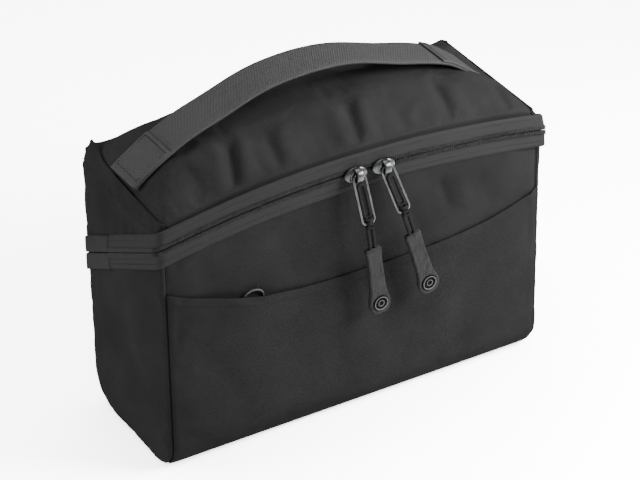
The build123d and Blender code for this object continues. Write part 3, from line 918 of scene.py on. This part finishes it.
def on_band(points, normals, out, shift):
    """3-D points on the band: out from the body, shift up from the zip line."""
    out = out * (1 - BAND_SLIM * normals[:, 0] ** 2)
    plan = points + normals * out[:, None]
    return np.stack([plan[:, 0], plan[:, 1], zip_z(plan[:, 0], plan[:, 1], shift)], axis=1)


def band_half(name, sign, body, nodes):
    """One half of the zip band: padded edge, flat woven tape and the turned edge at the parting."""
    points, normals = zip_path(BAND_BACK_Y)
    section = [(0.2, 12.0), (1.1, 12.4), (2.2, 12.4), (3.1, 12.0), (3.7, 11.3), (3.98, 10.4), (4.0, 9.4),
               (3.98, 8.6), (3.84, 8.25), (3.98, 7.9), (4.05, 7.0), (4.1, 5.2), (4.2, 3.8), (4.35, 3.0),
               (4.4, 1.6), (4.3, 0.75), (4.0, 0.42), (3.5, 0.34)]
    rows = []
    for out, shift in section:
        row = on_band(points, normals, np.full(len(points), out), sign * shift)
        wob = 0.28 * ripple(row[:, 0], row[:, 1], row[:, 2], 17.0, 3.0 + sign) * min(out / 4, 1)
        row[:, :2] += normals * wob[:, None]
        rise = 0.5 * ripple(row[:, 0], row[:, 1], 0 * row[:, 2], 30.0, 1.0 + sign)
        row[:, 2] += rise * max(shift - 8, 0) / 4
        rows.append(row)
    obj = grid_object(name, np.array(rows), flip=sign > 0)
    thicken(obj, 0.8)
    finish_piece(obj, body, TAPE, "zip_tape", *nodes)


def bead():
    """Small rounded bar of half length 1, along its second axis."""
    half = [(1.0, 0.5), (0.8, 0.88), (0.3, 1.0)]
    rings = [(-s, r) for s, r in half] + half[::-1]
    sides = 8
    points = []
    for s, r in rings:
        points += [(x, s, z) for x, z in arc(0, 0, r, 0, 360, sides + 1)[:-1]]
    faces = []
    for i in range(len(rings) - 1):
        for k in range(sides):
            n = (k + 1) % sides
            faces.append((i * sides + k, i * sides + n, (i + 1) * sides + n, (i + 1) * sides + k))
    faces.append(tuple(range(sides))[::-1])
    faces.append(tuple((len(rings) - 1) * sides + k for k in range(sides)))
    return np.array(points), faces


def frames_along(line, pitch, start=0.0):
    """Evenly spaced positions and directions along a polyline."""
    run = np.concatenate([[0], np.cumsum(np.linalg.norm(np.diff(line, axis=0), axis=1))])

    def point_at(place):
        return np.stack([np.interp(place, run, line[:, k]) for k in range(3)], axis=1)

    at = np.arange(start, run[-1], pitch)
    direction = point_at(np.minimum(at + 0.4, run[-1])) - point_at(np.maximum(at - 0.4, 0))
    return point_at(at), direction / np.linalg.norm(direction, axis=1)[:, None]


def scatter(name, places):
    """Many small beads in one mesh, each placed by (origin, x axis, y axis, z axis)."""
    base, faces = bead()
    points, all_faces = [], []
    for origin, ax, ay, az in places:
        start = len(points) * len(base)
        points.append(origin + base[:, :1] * ax + base[:, 1:2] * ay + base[:, 2:] * az)
        all_faces += [tuple(start + i for i in f) for f in faces]
    return mesh_object(name, slump(np.concatenate(points)), all_faces)


def outward_at(where, points, normals):
    """Outward plan direction of the band nearest to each place."""
    nearest = [int(np.argmin(((points - p[:2]) ** 2).sum(axis=1))) for p in where]
    return np.pad(normals[nearest], ((0, 0), (0, 1)))


def coil_half(name, sign, body, node):
    """Ribs of one half of the coil, low under the tape's turned edge."""
    points, normals = zip_path(COIL_BACK_Y)
    line = on_band(points, normals, np.full(len(points), 4.36), sign * 1.85)
    where, along = frames_along(line, 1.3, 0.3 if sign > 0 else 0.95)
    outward = outward_at(where, points, normals)
    places = []
    for place, direction, out in zip(where, along, outward):
        up = np.cross(out, direction)
        up = up if up[2] > 0 else -up
        lean = (up + 0.14 * direction) * sign
        places.append((place, direction * 0.42, -lean * 1.5, out * 0.75))
    obj = scatter(name, places)
    finish_piece(obj, body, COIL, "zip_coil", node)


def stitch_row(name, line, outward, body, slot_name, pitch=3.1, length=2.1, radius=0.24):
    """Row of thread stitches on a line; outward is one direction or one per stitch."""
    where, along = frames_along(np.asarray(line, float), pitch)
    directions = outward(where) if callable(outward) else [np.asarray(outward, float)] * len(where)
    places = []
    for place, direction, out in zip(where, along, directions):
        across = np.cross(direction, out)
        across = across / max(np.linalg.norm(across), 1e-6)
        places.append((place, across * radius, direction * length / 2, out * radius))
    obj = scatter(name, places)
    finish_piece(obj, body, THREAD, slot_name)


def band_stitches(name, sign, body):
    """Row of stitches that holds the padded edge to the tape."""
    points, normals = zip_path(BAND_BACK_Y - 1)
    line = on_band(points, normals, np.full(len(points), 3.95), sign * STITCH_SHIFT)
    stitch_row(name, line, lambda where: outward_at(where, points, normals), body, "zip_tape",
               2.8, 2.0, 0.22)


def end_cover(name, sign, side, body, node):
    """Smooth cloth over the zip's end on the side, held by a small bar of stitching."""
    ys = spread(COIL_BACK_Y - 1.5, BAND_BACK_Y, 22)
    taper = smooth_step((ys - ys[0]) / 3.5)
    section = [(4.0, 12.2), (4.6, 11.9), (5.0, 11.0), (5.15, 9.5), (5.2, 6.0), (5.2, 3.0), (5.15, 1.2),
               (4.9, 0.55), (4.2, 0.4)]
    rows = []
    for out, shift in section:
        bulge = 0.3 * np.sin(ys / 5.0 + side) * min(abs(shift) / 6, 1)
        outs = 3.9 + (out - 3.9) * taper + bulge
        x = side * (HALF_WIDTH + outs * (1 - BAND_SLIM) + 0.3 * taper)
        rows.append(np.stack([x, ys, zip_z(x, ys, sign * shift)], axis=1))
    obj = grid_object(name, np.array(rows), flip=(sign * side) > 0)
    thicken(obj, 0.7)
    finish_piece(obj, body, SHELL_END, "zip_end_cloth", node)
    x = side * (HALF_WIDTH + 4.55 * (1 - BAND_SLIM) + 0.3)
    line = [(x, COIL_BACK_Y + 1.4, float(zip_z(x, COIL_BACK_Y + 1.4, sign * h))) for h in spread(1.5, 11, 8)]
    stitch_row(name + "_bar", line, (side, 0.0, 0.0), body, "zip_end_cloth", 1.5, 1.3, 0.26)


# ---------------------------------------------------------------- handle

def strap_height(x):
    """The strap lies flatter on its flanks than a plain arc, and its right end dips to the lid's seam."""
    tuck = 6.0 * smooth_step((np.asarray(x) - 96) / 34)
    return -3.2 * np.exp(-((np.abs(x) - 62) / 26) ** 2) - tuck


def strap_point(angle, radius, y=0.0):
    """Point on the strap at an angle from upright, in radians."""
    x = radius * math.sin(angle)
    return x, y, HANDLE_CENTRE_Z + radius * math.cos(angle) + float(strap_height(x))


def strap_grid(a0, a1, radius, half, rows):
    """Top face of the strap between two angles from upright, in degrees."""
    grid = []
    for a in spread(a0, a1, rows):
        line = []
        for y in spread(-half, half, 17):
            round_edge = 4.0 * max(abs(y) / half - 0.9, 0)
            unevenness = 0.15 * math.sin(a * 0.31 + y * 0.05)
            line.append(strap_point(math.radians(a), radius - round_edge + unevenness, y))
        grid.append(line)
    return np.array(grid)


def handle():
    """Webbing handle, with folded and stitched ends."""
    left_end = math.degrees(math.asin(-131.8 / HANDLE_R))
    right_end = math.degrees(math.asin(120.0 / HANDLE_R))
    top_face = strap_grid(left_end, right_end, HANDLE_R, HANDLE_HALF, 141)
    strap = grid_object("handle_strap", top_face, flip=True)
    thicken(strap, STRAP_THICK)
    finish_piece(strap, "lid", WEBBING, "webbing", "handle_webbing")
    for (name, side), outer in zip(SIDES, (left_end, right_end)):
        inner = outer - side * FOLD_TURN
        fold = strap_grid(min(outer, inner), max(outer, inner), HANDLE_R + 1.3, HANDLE_HALF - 0.2, 34)
        patch = grid_object("handle_fold_" + name, fold, flip=True)
        thicken(patch, 1.2)
        finish_piece(patch, "lid", WEBBING, "webbing")
        near, far = math.radians(inner + side * 0.7), math.radians(outer - side * 1.2)
        box = [np.array(strap_point(a, HANDLE_R + 1.45, y * BOX_STITCH_HALF))
               for a, y in ((near, -1), (near, 1), (far, 1), (far, -1), (near, -1))]
        lines = []
        for first, last in zip(box[:-1], box[1:]):
            lines += [*np.linspace(first, last, 12)[:-1]]
        middle = math.radians((inner + outer) / 2)
        stitch_row("handle_stitch_" + name, lines, (math.sin(middle), 0, math.cos(middle)), "lid", "webbing",
                   2.2, 1.7, 0.3)


# ---------------------------------------------------------------- pulls

def turned(point, origin, lean, outward):
    """Local pull point in millimetres placed in the row frame."""
    p = Matrix.Rotation(math.radians(-outward), 3, "X") @ Vector(point)
    p = Matrix.Rotation(math.radians(-lean), 3, "Y") @ p
    return Vector(origin) + p


def local_grid(grid, origin, lean, outward=0.0):
    """Grid of local pull points placed in the row frame."""
    flat = [turned(p, origin, lean, outward) for p in grid.reshape(-1, 3)]
    return np.array([tuple(p) for p in flat]).reshape(grid.shape)


def cord_curve(name, points, radius, body, material, node):
    """Cord as one smooth spline through its route."""
    curve = bpy.data.curves.new(name, "CURVE")
    curve.dimensions = "3D"
    curve.bevel_depth = radius * MM
    curve.bevel_resolution = 4
    curve.use_fill_caps = True
    spline = curve.splines.new("NURBS")
    spline.points.add(len(points) - 1)
    for k, p in enumerate(points):
        spline.points[k].co = (*(Vector(p) * MM), 1.0)
    spline.order_u = 3
    spline.use_endpoint_u = True
    spline.resolution_u = 12
    obj = new_object(name, curve)
    finish_piece(obj, body, material, "cord", node)
    line = spline_points(obj)


def spline_points(obj):
    """Points along a curve object's smooth line."""
    bare = obj.data.copy()
    bare.bevel_depth = 0.0
    probe = bpy.data.objects.new("probe", bare)
    mesh = bpy.data.meshes.new_from_object(probe)
    points = [v.co.copy() for v in mesh.vertices]
    bpy.data.objects.remove(probe)
    return points


def ring_wire(side, upper, lean):
    """Long wire ring with rounded corners."""
    radius = 3.0
    x, low = 4.1 - radius, -RING_LENGTH + radius
    corners = [(x, -radius, 0), (-x, -radius, 90), (-x, low, 180), (x, low, 270)]
    path = [(px, 0, pz) for px, pz in rounded_loop(corners, radius, 8, (4, 10))]
    grid = tube(path, 0.9, 14, closed=True)
    grid = local_grid(grid, upper, lean, RING_LEAN)
    obj = grid_object("wire_ring_" + side, grid, flip=True, leaning=False)
    weld(obj, 0.01)
    finish_piece(obj, "ring_body_" + side, RING_METAL, "ring_wire", "ring_" + side)


def knot(side, pivot, lean):
    """Cord hitched round the ring's lower bar, as a coil of nearly three turns."""
    count, turns = 110, 2.75
    core = []
    for s in spread(0, 1, count):
        a = 2 * math.pi * turns * s + 0.6
        core.append((1.95 * math.cos(a), 1.75 * math.sin(a), 5.2 - 8.2 * s))
    ends = np.minimum(spread(0, 1, count), spread(1, 0, count))
    grid = tube(core, 1.0 * np.clip(8 * ends + 0.25, 0, 1), 10)
    obj = grid_object("cord_hitch_" + side, local_grid(grid, pivot, lean), flip=True, leaning=False)
    finish_piece(obj, "pull_body_" + side, CORD, "cord", "hitch_" + side)


def tab_half_width(z):
    """Half width of the moulded tab at a height below the ring's lower bar."""
    below = [0.0, 0.8, 2.4, 5.0, 7.8, 10.2, 13.0, 18.0, 33.0, 42.0, 47.0, 48.3, 49.0]
    widths = [0.6, 3.4, 5.7, 7.2, 7.55, 7.3, 6.4, 5.6, 5.1, 5.2, 5.55, 5.4, 4.6]
    return float(np.interp(z - TAB_LOW, below, widths))


def signed_power(value, power):
    """Power of a value's size that keeps its sign, for rounded-square outlines."""
    return math.copysign(abs(value) ** power, value)


def tab(side, pivot, lean):
    """Rubber tab with rounded edges and a shallow raised border."""
    turn = spread(0, 2 * math.pi, 41)
    rows = []
    for z in [*spread(TAB_LOW, -62.5, 12), *spread(-61.5, -21.5, 42), *spread(-20.5, TAB_TOP, 8)]:
        w = tab_half_width(z)
        cap = min(1.0, (z - TAB_LOW) / 1.6 + 0.25, (TAB_TOP - z) / 1.2 + 0.35)
        t = 2.2 * math.sqrt(max(cap, 0.05))
        ends = min(1.0, max(z - TAB_LOW - 1.2, 0) / 0.8, max(TAB_TOP - 1.2 - z, 0) / 0.8)
        row = []
        for a in turn:
            s = math.sin(a)
            px = w * signed_power(math.cos(a), 0.38)
            face = max(0.0, 1 - (abs(px) / max(w - 1.1, 0.5)) ** 8) * (abs(s) > 0.3)
            row.append((px, t * signed_power(s, 0.5) - math.copysign(0.3 * face * ends, s), z))
        rows.append(row)
    rows = [[(0, 0, TAB_LOW)] * len(turn)] + rows + [[(0, 0, TAB_TOP)] * len(turn)]
    grid = local_grid(np.array(rows), pivot, lean)
    obj = grid_object("tab_rubber_" + side, grid, flip=True, leaning=False)
    weld(obj, 0.02)
    finish_piece(obj, "pull_body_" + side, RUBBER, "pull_rubber", "tab_" + side)


def badge(side, pivot, lean):
    """Round badge: dark disc with a thin light ring and a plain centre ring."""
    profile = [(0.0, 2.5), (1.7, 2.5), (1.75, 2.72), (2.2, 2.72), (2.25, 2.5), (4.1, 2.5), (4.15, 2.9),
               (4.75, 2.9), (4.85, 2.6), (5.3, 2.5), (5.35, 1.9)]
    light_rows = (1, 2, 5, 6)
    sides = 48
    rows = [[(x, -h, BADGE_Z + z) for x, z in arc(0, 0, r, 0, 360, sides + 1)] for r, h in profile]
    grid = local_grid(np.array(rows), pivot, lean)
    obj = grid_object("badge_disc_" + side, grid, flip=True, leaning=False)
    finish_piece(obj, "pull_body_" + side, BADGE, "badge_plastic", "badge_" + side)
    obj.data.materials.append(BADGE_LINE)
    for face in obj.data.polygons:
        face.material_index = int(face.index // sides in light_rows)


def slab(outline, y_in, y_out, dome=0.6):
    """Rounded plate from an outline in the XZ plane, y_in behind and y_out in front, with a domed face."""
    outline = np.array(outline)
    layers = [(y_in, 0.02), (y_in, 0.85), (y_in, 0.97), (y_in * 0.6 + y_out * 0.4, 1.0),
              (y_in * 0.2 + y_out * 0.8, 1.0), (y_out, 0.93), (y_out - dome * 0.6, 0.72), (y_out - dome, 0.4),
              (y_out - dome, 0.02)]
    rows = []
    for y, share in layers:
        ring = np.concatenate([outline * share, outline[:1] * share])
        rows.append([(x, y, z) for x, z in ring])
    return np.array(rows)


def rounded(width, height, power, count=40):
    """Closed rounded outline in the XZ plane."""
    return [(width / 2 * signed_power(math.cos(a), power), height / 2 * signed_power(math.sin(a), power))
            for a in spread(0, 2 * math.pi, count + 1)[:-1]]


def bridge_strip():
    """Bent strip of the slider's bridge, which the ring hangs on."""
    arch = np.array([(4.4, -7.7), (4.6, -9.4), (4.2, -11.3), (2.8, -12.6), (0.6, -13.0), (-1.4, -12.6),
                     (-2.9, -11.3), (-3.5, -9.6), (-3.6, -7.7)])
    rows = []
    for k, (z, y) in enumerate(arch):
        d = arch[min(k + 1, len(arch) - 1)] - arch[max(k - 1, 0)]
        d = d / np.linalg.norm(d)
        ring = []
        for a in spread(0, 2 * math.pi, 17):
            t = 0.7 * signed_power(math.sin(a), 0.6)
            ring.append((2.3 * signed_power(math.cos(a), 0.5), y - d[0] * t, z + d[1] * t))
        rows.append(ring)
    return np.array(rows)


def slider_piece(side, x):
    """Zip slider: domed shell with shoulders, a bridge for the ring and a keeper behind the tape."""
    angle = math.asin(x / ZIP_R)
    centre = Vector((x, -HALF_DEPTH, ZIP_CENTRE_Z + ZIP_R * math.cos(angle)))
    spin = Matrix.Rotation(angle, 3, "Y")

    def put(grid):
        return np.array([tuple(centre + spin @ Vector(p)) for p in grid.reshape(-1, 3)]).reshape(grid.shape)

    outline = [(px * (1.0 - 0.1 * abs(px) / 8 * abs(pz) / 5), pz * (0.82 + 0.18 * math.cos(px / 8 * 2.2)))
               for px, pz in rounded(16.4, 10.4, 0.6)]
    shell = slab(outline, -5.4, -7.7, 1.0)
    crown = slab(rounded(9.0, 8.4, 0.8), -7.6, -8.9, 0.5)
    keeper = slab(rounded(13.0, 8.2, 0.5), -1.5, -2.1, 0.1)
    keeper[..., 2] -= 3.4
    web = slab(rounded(10.0, 0.5, 0.6), -1.8, -5.6, 0.0)
    web[..., 2] += -ZIP_FALL * (web[..., 1] + 4.0)
    obj = join_grids("zip_slider_" + side, [put(g) for g in (shell, crown, bridge_strip(), keeper, web)])
    sub = obj.modifiers.new("smooth", "SUBSURF")
    sub.levels = 1
    sub.render_levels = 1
    finish_piece(obj, "slider_body_" + side, SLIDER_METAL, "slider_metal", "slider_" + side)


def pull(side):
    """Slider, ring, cords, hitch, tab and badge of one pull."""
    upper, lower, lean, x = PULLS[side]
    slider_piece(side, x)
    ring_wire(side, upper, lean)
    foot, top = 5.4 - RING_LENGTH, -8.5
    route = [(-2.1, 0, foot), (-2.1, 0, top - 2), (-2.1, 0, top + 2.1),
             (2.1, 0, top + 2.1), (2.1, 0, top - 2), (2.1, 0, foot)]
    cord_curve("ring_cord_loop_" + side, [turned(p, upper, lean, RING_LEAN) for p in route], 1.1,
               "ring_body_" + side, CORD, "ring_cord_" + side)
    foot = TAB_TOP - 5.0
    route = [(-1.7, 0, -3.0), (-1.7, 0, foot + 2), (-1.7, 0, foot - 1.7),
             (1.7, 0, foot - 1.7), (1.7, 0, foot + 2), (1.7, 0, -3.0)]
    cord_curve("pull_cord_loop_" + side, [turned(p, lower, lean, 0.0) for p in route], 1.1,
               "pull_body_" + side, CORD, "pull_cord_" + side)
    knot(side, lower, lean)
    tab(side, lower, lean)
    badge(side, lower, lean)


def pocket_loop():
    """Thin loop that peeps out of the pocket."""
    y = -50.8
    route = [(-81, y, 94), (-81, y, 104), (-81.4, y - 1.6, 113), (-75, y - 2.4, 116.2),
             (-67.6, y - 2.2, 113.4), (-67, y, 104), (-67, y, 94)]
    cord_curve("pocket_loop_cord", route, 0.6, "bag_body", LOOP_CORD, "pocket_loop")


# ---------------------------------------------------------------- seams

def seam_stitches():
    """Thread lines: front upright seams and the lid's side seams."""
    stitches = (3.2, 2.3, 0.2)
    for name, side in SIDES:
        line = np.array(front_rows(side * (SEAM_X - 1.6)))[5:]
        line[:, 1] += 0.1
        stitch_row("front_seam_stitch_" + name, line, (0, -1.0, 0), "bag_body", "shell_cloth", *stitches)
        line = [(side * (float(lean_x(seam_z(y))) + 0.9), y, float(seam_z(y)) - 1.6)
                for y in spread(-44, 32, 40)]
        stitch_row("lid_seam_stitch_" + name, line, (side * 0.95, 0, 0.3), "lid", "shell_cloth", *stitches)


# ---------------------------------------------------------------- light and camera

def area_light(name, size, power, place, target=(0, 0, 0.1)):
    """Soft rectangular light that faces its target."""
    light = bpy.data.lights.new(name, "AREA")
    light.shape = "RECTANGLE"
    light.size, light.size_y = size
    light.energy = power
    obj = new_object(name, light)
    obj.location = place
    obj.rotation_euler = (Vector(target) - Vector(place)).to_track_quat("-Z", "Y").to_euler()


def stage():
    """White paper floor, white surroundings and three soft lights: front right, back left and above."""
    points = [(x * FLOOR_HALF, y * FLOOR_HALF, FLOOR_Z) for x, y in ((-1, -1), (1, -1), (1, 1), (-1, 1))]
    floor = mesh_object("floor", points, [(0, 1, 2, 3)])
    floor.data.materials.append(floor_material())
    world = bpy.data.worlds.new("studio")
    world.use_nodes = True
    world.node_tree.nodes["Background"].inputs[0].default_value = (1, 1, 1, 1)
    world.node_tree.nodes["Background"].inputs[1].default_value = 2.6
    bpy.context.scene.world = world
    area_light("key", (0.3, 0.3), 40.0, (0.36, -0.36, 0.44), (0.08, -0.03, 0.13))
    area_light("left", (0.8, 0.8), 70.0, (-1.3, 0.5, 0.5), (-0.1, 0, 0.12))
    area_light("top", (1.2, 1.0), 60.0, (0.1, 0.45, 1.5))


def camera():
    """Camera at the reference view: from the left front, looking down."""
    azimuth, elevation, roll = math.radians(-30.0), math.radians(32.0), math.radians(-0.9)
    target, distance = Vector((0.0028, 0, 0.0974)), 1.85
    back = Vector((math.sin(azimuth) * math.cos(elevation), -math.cos(azimuth) * math.cos(elevation),
                   math.sin(elevation)))
    level = Vector((math.cos(azimuth), math.sin(azimuth), 0))
    steep = back.cross(level)
    right = math.cos(roll) * level + math.sin(roll) * steep
    up = math.cos(roll) * steep - math.sin(roll) * level
    data = bpy.data.cameras.new("camera")
    data.lens = 165.5
    data.sensor_width = 36.0
    data.clip_end = 20.0
    obj = new_object("camera", data)
    turn = Matrix((right, up, back)).transposed().to_4x4()
    obj.matrix_world = Matrix.Translation(target + back * distance) @ turn
    bpy.context.scene.camera = obj


# ---------------------------------------------------------------- whole scene

def soft_goods():
    """Sewn cloth panels, run through the cloth simulation before they get their thickness."""
    back = back_panel()
    pouch = pocket()
    panels = [front_panel(), lid_top(), pouch]
    for name, side in SIDES:
        panels += [gusset(name, side), lid_side(name, side)]
    run_cloths()
    for cloth_panel in panels:
        thicken(cloth_panel, SHELL_THICK)
    hang_back_panel(back)
    thicken(back, BACK_THICK)


def zip_parts():
    """Both halves of the zip, with their end covers."""
    halves = (("lower", -1, "bag_body"), ("upper", 1, "lid"))
    for half, sign, body in halves:
        band_half("zip_band_" + half, sign, body, ("zip_tape_" + half, "zip_welt_" + half))
    for half, sign, body in halves:
        coil_half("zip_teeth_" + half, sign, body, "zip_coil_" + half)
    for half, sign, body in halves:
        band_stitches("band_stitch_" + half, sign, body)
    for name, side in SIDES:
        for half, sign, body in halves:
            ending = half + "_" + name
            end_cover("zip_cover_" + ending, sign, side, body, "zip_end_" + ending)


def build():
    camera()
    pocket_loop()
    for side in PULLS:
        pull(side)
    soft_goods()
    base_panel()
    body_lining()
    lid_lining()
    for name, side in SIDES:
        divider(name, side * DIVIDER_X)
    zip_parts()
    handle()
    seam_stitches()
    stage()


build()
